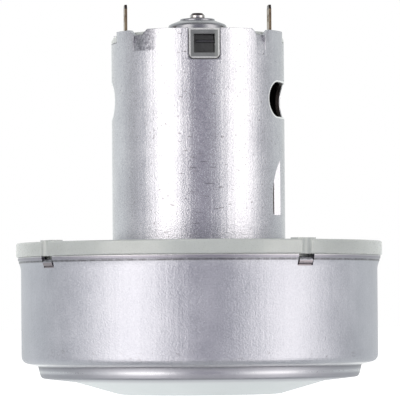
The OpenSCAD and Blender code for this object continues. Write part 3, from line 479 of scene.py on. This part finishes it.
def satin_cover():
    """The fan cover: satin zinc with real scuffs, a polished ring crest with a painted highlight, painted
    shade on the ring's flanks, in the crease, along the groove, on the rim band and on the tongues, a painted
    highlight on the shoulder's edge, painted light on the rim's top edge and a painted reflection on the
    nose.
    """
    sheet = Sheet("satin_zinc", (0.385, 0.394, 0.444), (0.51, 0.52, 0.572), rough=0.395, grain=0.36,
                  depth=0.065, speckle=0.3, edge=0.06, draw=0.03)
    height = sheet.height()
    radius = sheet.from_axis()
    on_ring = sheet.math("LESS_THAN", radius, RING_RADIUS)
    crest = sheet.band(height, *CREST_BAND)
    flank = sheet.math("SUBTRACT", sheet.band(height, *RING_BAND), crest)
    flank = sheet.math("MULTIPLY", sheet.math("MAXIMUM", flank, 0), on_ring)
    crest = sheet.math("MULTIPLY", crest, on_ring)
    sheet.roughen(crest, -CREST_POLISH)
    # Painted highlight: the ring's crest is lightened so its softbox reflection reads brighter
    sheet.stain_or_light(crest, *CREST_HIGHLIGHT)
    sheet.roughen(flank, FLANK_DULLNESS)
    # Painted shade: the ring's flanks above and below the crest are darkened
    sheet.stain_or_light(flank, *FLANK_SHADE)
    sheet.level(sheet.math("MULTIPLY", sheet.span(height, *EVEN_LEVELS), on_ring), RING_EVENNESS)
    # Painted shade: a dark line in the crease under the shoulder
    crease = sheet.math("MULTIPLY", sheet.band(height, *CREASE_BAND), on_ring)
    sheet.stain_or_light(crease, *CREASE_SHADE)
    # Painted highlight: a pale line along the shoulder's lower edge
    shoulder = sheet.math("MULTIPLY", sheet.band(height, *SHOULDER_BAND), sheet.span(radius, *SHOULDER_RADII))
    sheet.stain_or_light(shoulder, *SHOULDER_HIGHLIGHT)
    # Painted shade along the groove below the rim, broken up by noise
    groove_breakup = sheet.span(sheet.noise(*GROOVE_SHADE_NOISE), *GROOVE_CUT)
    sheet.stain_or_light(sheet.math("MULTIPLY", sheet.band(height, *GROOVE_BAND), groove_breakup), *GROOVE_SHADE)
    # Painted shade: the rim band under the plate's overhang is darkened and tinted mauve
    sheet.stain_or_light(sheet.span(height, *RIM_LEVELS), *RIM_SHADE)
    # Painted light: the rim's top edge is lightened against the shade of the gap under the plate
    sheet.stain_or_light(sheet.span(height, *RIM_EDGE_LEVELS), *RIM_EDGE_LIGHT)
    # Painted reflection: the nose is lightened as though reflecting the bright floor
    sheet.stain_or_light(sheet.span(height, *NOSE_LEVELS), *NOSE_REFLECTION)
    scuff = sheet.span(sheet.noise(*SCUFFS, stretch=SCUFF_STRETCH, warp=SCUFF_WARP), *SCUFF_CUT)
    scuff = sheet.math("MULTIPLY", scuff, sheet.span(sheet.noise(*SCUFF_PATCHES), *SCUFF_PATCH_CUT))
    sheet.stain_or_light(sheet.math("MULTIPLY", scuff, sheet.band(height, *SCUFF_BAND)), *SCUFF_STAIN)
    # Painted shade: the lower part of each tongue is darkened mauve-brown
    tongue = sheet.at_angles(TONGUE_COUNT, TONGUE_TURN, TONGUE_HALF, TONGUE_SIDE_FADE)
    sheet.stain_or_light(sheet.math("MULTIPLY", tongue, sheet.band(height, *TONGUE_BAND)), *TONGUE_SHADE)
    return sheet.done()


def bright_can():
    """The motor can: bright zinc with patches of dark pits and short scratches, painted shade in the crimp
    dents, round the brush holders and on its inside, a painted highlight along the vent slots' cut edges, and
    a rougher inside.
    """
    sheet = Sheet("bright_zinc", (0.42, 0.425, 0.468), (0.60, 0.603, 0.646), rough=0.185, grain=0.27,
                  depth=0.06, speckle=0.3, edge=0.25, draw=0.04)
    pit = sheet.span(sheet.noise(*PITS, warp=PIT_WARP), *PIT_CUT)
    patch = sheet.span(sheet.noise(*PIT_PATCHES), *PIT_PATCH_CUT)
    sheet.stain_or_light(sheet.math("MULTIPLY", pit, patch), *PIT_STAIN)
    scratch = sheet.noise(*SCRATCHES, stretch=SCRATCH_STRETCH, turn=SCRATCH_TURN)
    sheet.stain_or_light(sheet.span(scratch, *SCRATCH_CUT), *SCRATCH_STAIN)
    height = sheet.height()
    # Painted shade in the crimp dents, broken up by noise
    dent_breakup = sheet.span(sheet.noise(*DENT_BREAKUP), *DENT_BREAKUP_CUT)
    for turn, half, low, cover in CRIMP_PAIRS:
        dent = sheet.math("MULTIPLY", sheet.at_angles(CRIMPS_IN_PAIR, turn, half, CRIMP_SIDE_FADE),
                          sheet.band(height, low, CRIMP_TOP, CRIMP_FADE))
        sheet.stain_or_light(sheet.math("MULTIPLY", dent, dent_breakup), DENT_SHADE_GREY, cover)
    # Painted shadow: a dark outline round the brush holders where they meet the can
    sheet.stain_or_light(sheet.span(sheet.past_box("brush_holder_front"), *OUTLINE_WIDTHS), *OUTLINE_SHADE)
    radius = sheet.from_axis()
    # Painted shade: the can's inside and the vent slots' cut faces are darkened
    inside = sheet.math("LESS_THAN", radius, CAN_INSIDE)
    vent = sheet.math("MULTIPLY", sheet.math("LESS_THAN", radius, VENT_EDGE), sheet.band(height, *VENT_BAND))
    hidden = sheet.math("MAXIMUM", inside, vent)
    # Painted highlight: a pale line along the vent slots' cut edges
    past_vent = sheet.past_slot(VENT_TURN, VENT_ARC, VENT_RADIUS, VENT_LEVEL, VENT_HIGH)
    sheet.stain_or_light(sheet.band(past_vent, *CUT_BAND), *CUT_HIGHLIGHT)
    sheet.stain_or_light(hidden, *INSIDE_SHADE)
    sheet.roughen(hidden, INSIDE_DULLNESS)
    return sheet.done()


def holder_resin():
    """The brush holders: dark grey resin, with a painted highlight along the outer edges."""
    finish = Finish("holder_resin", HOLDER_EDGE, Coat_Weight=1.0, Coat_Roughness=0.08, Coat_IOR=2.0)
    grain = finish.noise(*HOLDER_GRAIN)
    colour = finish.mix(finish.spread(finish.noise(*HOLDER_CLOUDS)), HOLDER_DARK, HOLDER_LIGHT)
    # Painted highlight along the holders' outer edges, broken up by the grain
    edge_highlight = finish.span(finish.past_box("brush_holder_front"), *EDGE_HIGHLIGHT_WIDTHS)
    edge_highlight = finish.math("MULTIPLY", edge_highlight, finish.span(grain, *EDGE_HIGHLIGHT_CUT))
    finish.link(finish.mix(edge_highlight, colour, EDGE_HIGHLIGHT_GREY), "Base Color")
    finish.link(finish.spread(grain, *HOLDER_ROUGHNESS), "Roughness")
    finish.bump(grain, HOLDER_GRAIN_DEPTH)
    return finish.done()


def moulded(name, dark, light, rough, clouds=6, grain=0.3, depth=0.01, edge=0.2, **sockets):
    """Moulded resin with a faint cloud in its colour and a fine skin."""
    finish = Finish(name, edge, **sockets)
    cloud = finish.noise(clouds, *CLOUD_TEXTURE)
    skin = finish.noise(grain, *SKIN_TEXTURE)
    finish.link(finish.mix(finish.spread(cloud), dark, light), "Base Color")
    finish.link(finish.span(skin, *SKIN_REACH, rough - RESIN_SWING, rough + RESIN_SWING), "Roughness")
    finish.bump(skin, depth)
    return finish.done()


def turned(name, dark, light, rough, pitch=0.12, depth=0.004, edge=0.1, dark_from=None, undarkened=None):
    """Turned or drawn metal with fine rings round the shaft, dark above a height but for a band left
    undarkened.
    """
    finish = Finish(name, edge, Metallic=1.0)
    rings = finish.noise(pitch, *SKIN_TEXTURE, stretch=ROUND_SHAFT)
    tarnish = finish.noise(TARNISH_SIZE, *CLOUD_TEXTURE)
    colour = finish.mix(finish.spread(tarnish), dark, light)
    # Darker brown above a height, but for a band left undarkened
    if dark_from:
        height = finish.height()
        dark_top = finish.span(height, dark_from - DARK_TOP_FADE, dark_from + DARK_TOP_FADE)
        if undarkened:
            dark_top = finish.math("SUBTRACT", dark_top, finish.band(height, *undarkened))
        colour = finish.mix(dark_top, colour, DARK_TOP_BROWN)
    finish.link(colour, "Base Color")
    smoother, rougher = TURNED_SWING
    finish.link(finish.span(rings, *SKIN_REACH, rough + smoother, rough + rougher), "Roughness")
    finish.bump(rings, depth)
    return finish.done()


FINISHES = {
    "cover_sheet": satin_cover(),
    "can_steel": bright_can(),
    "nylon": moulded("milky_nylon", (0.52, 0.55, 0.545), (0.60, 0.63, 0.625), rough=0.30, clouds=9,
                     Subsurface_Weight=0.25, Subsurface_Radius=(0.0012, 0.0012, 0.0010), Subsurface_Scale=1.0,
                     Coat_Weight=0.6, Coat_Roughness=0.14, Coat_IOR=1.6),
    "screw_steel": turned("plated_screw", (0.48, 0.48, 0.50), (0.62, 0.62, 0.65), rough=0.30),
    "bearing_bronze": turned("oiled_bronze", (0.28, 0.18, 0.09), (0.46, 0.32, 0.17), rough=0.35),
    "ferrite": moulded("ground_ferrite", (0.035, 0.035, 0.04), (0.07, 0.07, 0.075), rough=0.6, clouds=3,
                       grain=0.15, depth=0.02),
    # Painted shade: the cup's steel is darker than the can's, standing in for its darker reflection from
    # above
    "cup_steel": turned("drawn_cup", (0.24, 0.245, 0.27), (0.32, 0.325, 0.35), rough=0.26),
    "terminal_brass": turned("tarnished_brass", (0.15, 0.11, 0.075), (0.34, 0.27, 0.18), rough=0.36,
                             dark_from=TAB_DARK_FROM),
    "holder_grey": holder_resin(),
    "carbon": moulded("pressed_carbon", (0.08, 0.082, 0.085), (0.14, 0.142, 0.145), rough=0.42, clouds=1.5,
                      grain=0.12, depth=0.012, edge=0.1),
    # Painted shade: the spring wire is made dark grey because it sits in the shade of the brush tunnel
    "spring_steel": turned("spring_wire", (0.14, 0.14, 0.15), (0.24, 0.24, 0.25), rough=0.30),
    "shaft_steel": turned("ground_shaft", (0.40, 0.39, 0.40), (0.56, 0.55, 0.56), rough=0.12, pitch=0.08,
                          depth=0.002, dark_from=SHAFT_DARK_FROM, undarkened=SHAFT_UNDARKENED_BAND),
    "spacer_resin": moulded("phenolic_brown", (0.09, 0.035, 0.02), (0.16, 0.07, 0.04), rough=0.45),
    "fibre": moulded("red_fibre", (0.16, 0.04, 0.025), (0.26, 0.08, 0.05), rough=0.7, clouds=1.0,
                     grain=0.1, depth=0.02),
    "core_steel": turned("laminations", (0.20, 0.20, 0.21), (0.32, 0.32, 0.33), rough=0.40, pitch=0.5,
                         depth=0.03),
    "insulator_green": moulded("green_coating", (0.02, 0.09, 0.045), (0.04, 0.15, 0.08), rough=0.35),
    "copper_wire": turned("enamelled_copper", (0.28, 0.08, 0.03), (0.45, 0.15, 0.06), rough=0.28, pitch=0.4),
    "copper_bar": turned("turned_copper", (0.50, 0.22, 0.12), (0.68, 0.34, 0.20), rough=0.30),
    "hub_brass": turned("turned_brass", (0.52, 0.38, 0.16), (0.68, 0.52, 0.26), rough=0.28),
    "impeller_sheet": Sheet("rolled_aluminium", (0.58, 0.59, 0.61), (0.72, 0.73, 0.75), rough=0.34, grain=0.4,
                            depth=0.006, speckle=0.25, edge=0.12, draw=0.002).done(),
}


def dress_solids():
    """Gives every solid the finish of its material slot."""
    for part in frame["record"]["subparts"]:
        mesh = frame["nodes"][part["node"]].data
        mesh.materials.clear()
        mesh.materials.append(FINISHES[part["material_slot"]])


def emitter(name, colour, strength):
    """A self-lit surface."""
    material = bpy.data.materials.new(name)
    material.use_nodes = True
    material.cycles.emission_sampling = "NONE"
    tree = material.node_tree
    tree.nodes.remove(tree.nodes["Principled BSDF"])
    glow = tree.nodes.new("ShaderNodeEmission")
    glow.inputs["Color"].default_value = (*colour, 1)
    glow.inputs["Strength"].default_value = strength
    tree.links.new(glow.outputs["Emission"], tree.nodes["Material Output"].inputs["Surface"])
    return material


def across(width, distance):
    """The size that spans an angle in degrees at a distance."""
    return 2 * distance * math.tan(math.radians(width / 2))


def placed_form(name, form):
    """Turns a finished bmesh into an object."""
    data = bpy.data.meshes.new(name)
    form.to_mesh(data)
    form.free()
    return place(name, data)


def flat_panel(name, width, height):
    """A rectangle about the origin that faces +Z, from a unit square."""
    form = bmesh.new()
    bmesh.ops.create_grid(form, x_segments=1, y_segments=1, size=0.5)
    bmesh.ops.scale(form, vec=(width, height, 1), verts=form.verts)
    return placed_form(name, form)


def flat_ring(name, inner, outer):
    """A flat ring about the origin."""
    form = bmesh.new()
    bmesh.ops.create_circle(form, cap_ends=False, radius=inner, segments=LOW_SHADE_SIDES)
    grown = bmesh.ops.extrude_edge_only(form, edges=form.edges[:])["geom"]
    rim = [part for part in grown if isinstance(part, bmesh.types.BMVert)]
    bmesh.ops.scale(form, vec=(outer / inner, outer / inner, 1), verts=rim)
    return placed_form(name, form)


def mirror_only(card):
    """Leaves a card of the studio to reflections alone."""
    card.visible_camera = False
    card.visible_diffuse = False
    card.visible_shadow = False
    card.visible_transmission = False


def mirror_card(name, turn, width, colour, strength, distance):
    """An upright card of the studio that only reflections show."""
    card = flat_panel(name, across(width, distance), CARD_TALL)
    card.location = around(turn, distance, CARD_MIDDLE)
    aimed(card, Vector((0, 0, CARD_MIDDLE)))
    card.data.materials.append(emitter(name + "_glow", colour, strength))
    mirror_only(card)


def make_lights():
    """Each softbox is a lamp for matt surfaces and a card for shiny ones."""
    for name, (turn, width, strength) in SOFTBOXES.items():
        data = bpy.data.lights.new(name, "AREA")
        data.shape = "RECTANGLE"
        data.size = across(width, SOFTBOX_DISTANCE)
        data.size_y = SOFTBOX_TALL
        data.energy = strength * data.size * data.size_y * math.pi
        data.color = SOFTBOX_LIGHT
        lamp = place(name, data)
        lamp.location = around(turn, SOFTBOX_DISTANCE, SOFTBOX_MIDDLE)
        aimed(lamp, Vector((0, 0, SOFTBOX_MIDDLE)))
        lamp.visible_glossy = False
        mirror_card(name + "_face", turn, width, SOFTBOX_FACE, strength, SOFTBOX_DISTANCE)


def make_cards():
    """The studio round the softboxes: the camera's side, flags, walls, the ceiling and a shade below."""
    for name, (turn, width, colour, strength) in CARDS.items():
        mirror_card(name, turn, width, colour, strength, CARD_DISTANCE)
    ceiling = flat_panel("ceiling", CEILING_SIZE, CEILING_SIZE)
    ceiling.location.z = CEILING_HEIGHT
    ceiling.data.materials.append(emitter("ceiling_grey", WHITE, CEILING_GREY))
    mirror_only(ceiling)
    shade = flat_ring("low_shade", *LOW_SHADE_RADII)
    shade.location.z = -LOW_SHADE_DEPTH
    shade.data.materials.append(emitter("low_shade_grey", WHITE, LOW_SHADE_GREY))
    mirror_only(shade)


def seen_rays(tree, unseen, seen):
    """One value for rays from the camera, a reflection or clear material, and another for the rest."""
    path = tree.nodes.new("ShaderNodeLightPath")
    total = path.outputs["Is Camera Ray"]
    for name in ("Is Glossy Ray", "Is Transmission Ray"):
        node = tree.nodes.new("ShaderNodeMath")
        node.operation = "MAXIMUM"
        tree.links.new(total, node.inputs[0])
        tree.links.new(path.outputs[name], node.inputs[1])
        total = node.outputs["Value"]
    choice = tree.nodes.new("ShaderNodeMapRange")
    tree.links.new(total, choice.inputs["Value"])
    choice.inputs["To Min"].default_value = unseen
    choice.inputs["To Max"].default_value = seen
    return choice.outputs["Result"]


def make_world():
    world = bpy.data.worlds.new("studio")
    world.use_nodes = True
    bpy.context.scene.world = world
    tree = world.node_tree
    background = tree.nodes["Background"]
    background.inputs["Color"].default_value = (*WHITE, 1)
    tree.links.new(seen_rays(tree, WORLD_FILL, 1.0), background.inputs["Strength"])


def make_floor():
    floor = flat_panel("floor", FLOOR_SIZE, FLOOR_SIZE)
    floor.location.z = -FLOOR_DROP
    material = bpy.data.materials.new("white_floor")
    material.use_nodes = True
    tree = material.node_tree
    shader = tree.nodes["Principled BSDF"]
    shader.inputs["Base Color"].default_value = FLOOR_COLOUR
    shader.inputs["Roughness"].default_value = FLOOR_ROUGHNESS
    shader.inputs["Specular IOR Level"].default_value = 0.0
    shader.inputs["Emission Color"].default_value = (*WHITE, 1)
    tree.links.new(seen_rays(tree, 0.0, FLOOR_GLOW), shader.inputs["Emission Strength"])
    floor.data.materials.append(material)
    floor.visible_glossy = False


def wire_piece(name, routes, diameter, slot, smooth=False):
    """Round wire along routes in millimetres, as one mesh."""
    curve = bpy.data.curves.new(name, "CURVE")
    curve.dimensions = "3D"
    curve.bevel_depth = diameter / 2 * MM
    curve.bevel_resolution = WIRE_ROUNDNESS
    curve.resolution_u = WIRE_STEPS
    curve.use_fill_caps = True
    for route in routes:
        spline = curve.splines.new("BEZIER" if smooth else "POLY")
        points = spline.bezier_points if smooth else spline.points
        points.add(len(route) - 1)
        for point, spot in zip(points, route):
            point.co = Vector(spot) * MM if smooth else (*(Vector(spot) * MM), 1)
            if smooth:
                point.handle_left_type = "AUTO"
                point.handle_right_type = "AUTO"
    former = place(name + "_route", curve)
    shaped = former.evaluated_get(bpy.context.evaluated_depsgraph_get())
    data = bpy.data.meshes.new_from_object(shaped)
    bpy.data.objects.remove(former)
    data.name = name
    data.shade_smooth()
    data.materials.clear()
    data.materials.append(FINISHES[slot])
    piece = place(name, data)
    return piece


def beside_brush(turn, out, right, up):
    """A point counted from a brush's own axis, turned round the shaft to that brush."""
    return Matrix.Rotation(turn, 3, "Z") @ Vector((right, -out, up))


def make_spring(name, node, turn):
    """Torsion spring: a leg, a coil and an arm that presses on the brush's back."""
    arm_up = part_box(node)[1].z / MM - SPRING_WIRE / 2
    low = arm_up - SPRING_TURNS * SPRING_PITCH
    out, right = SPRING_COIL
    route = [(out - reach, right - SPRING_RADIUS, low) for reach in (SPRING_LEG, SPRING_LEG / 2)]
    for step in range(SPRING_TURNS * SPRING_STEPS + 1):
        angle = step * math.tau / SPRING_STEPS - math.pi / 2
        route.append((out + SPRING_RADIUS * math.cos(angle), right + SPRING_RADIUS * math.sin(angle),
                      low + step / SPRING_STEPS * SPRING_PITCH))
    route += [(*spot, arm_up) for spot in SPRING_ARM]
    path = [beside_brush(turn, *spot) for spot in route]
    piece = wire_piece(name, [path], SPRING_WIRE, "spring_steel", smooth=True)
    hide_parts(node)
    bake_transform(piece)


def coil_route(tooth):
    """One tooth's wire: layer over layer, out along the tooth and back."""
    spin = Matrix.Rotation(tooth * math.tau / TEETH, 3, "Z")
    pitch = (COIL_END - COIL_START - COIL_WIRE) / COIL_TURNS
    steps = 4 * (COIL_CORNER_STEPS + 1)
    route = []
    for layer in range(COIL_LAYERS):
        grown = COIL_WIRE * (layer + 0.5)
        corner = COIL_CORNER + grown
        for step in range(COIL_TURNS * steps):
            quarter, part = divmod(step % steps, COIL_CORNER_STEPS + 1)
            angle = (quarter + part / COIL_CORNER_STEPS) * math.pi / 2
            along = step / steps if layer % 2 == 0 else COIL_TURNS - step / steps
            side = 1 if quarter in (0, 3) else -1
            rise = 1 if quarter in (0, 1) else -1
            width = side * (COIL_HALF_WIDTH + grown - corner) + corner * math.cos(angle)
            height = rise * (COIL_HALF_HEIGHT + grown - corner) + corner * math.sin(angle)
            route.append(spin @ Vector((COIL_START + COIL_WIRE / 2 + along * pitch, width, height))
                         + Vector((0, 0, COIL_MIDDLE)))
    return route


def lead_route(tooth, side):
    """A coil's end on its way up to the tang beside that tooth."""
    def spot(turn, level):
        radius, height = level
        return Matrix.Rotation(math.radians(turn), 3, "Z") @ Vector((radius, 0, height))

    pitch = 360 / TEETH
    root = tooth * pitch + side * LEAD_SPREAD
    tang = (tooth + side / 2) * pitch - side * LEAD_SPREAD
    return [spot(root, LEAD_FOOT), spot((root + tang) / 2, LEAD_BELLY), spot(tang, LEAD_HOOK)]


def make_coils():
    coil_routes = [coil_route(tooth) for tooth in range(TEETH)]
    lead_routes = [lead_route(tooth, side) for tooth in range(TEETH) for side in (-1, 1)]
    coils = wire_piece("rotor_coils", coil_routes, COIL_WIRE, "copper_wire")
    leads = wire_piece("rotor_coil_leads", lead_routes, COIL_WIRE, "copper_wire", smooth=True)
    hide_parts("rotor_windings")
    for piece in (coils, leads):
        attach(piece, "rotor")


make_camera()
dress_solids()
make_spring("front_spring_wire", "brush_spring_front", 0)
make_spring("rear_spring_wire", "brush_spring_rear", math.pi)
make_coils()
make_world()
make_lights()
make_cards()
make_floor()
bpy.context.scene.view_settings.view_transform = "Standard"
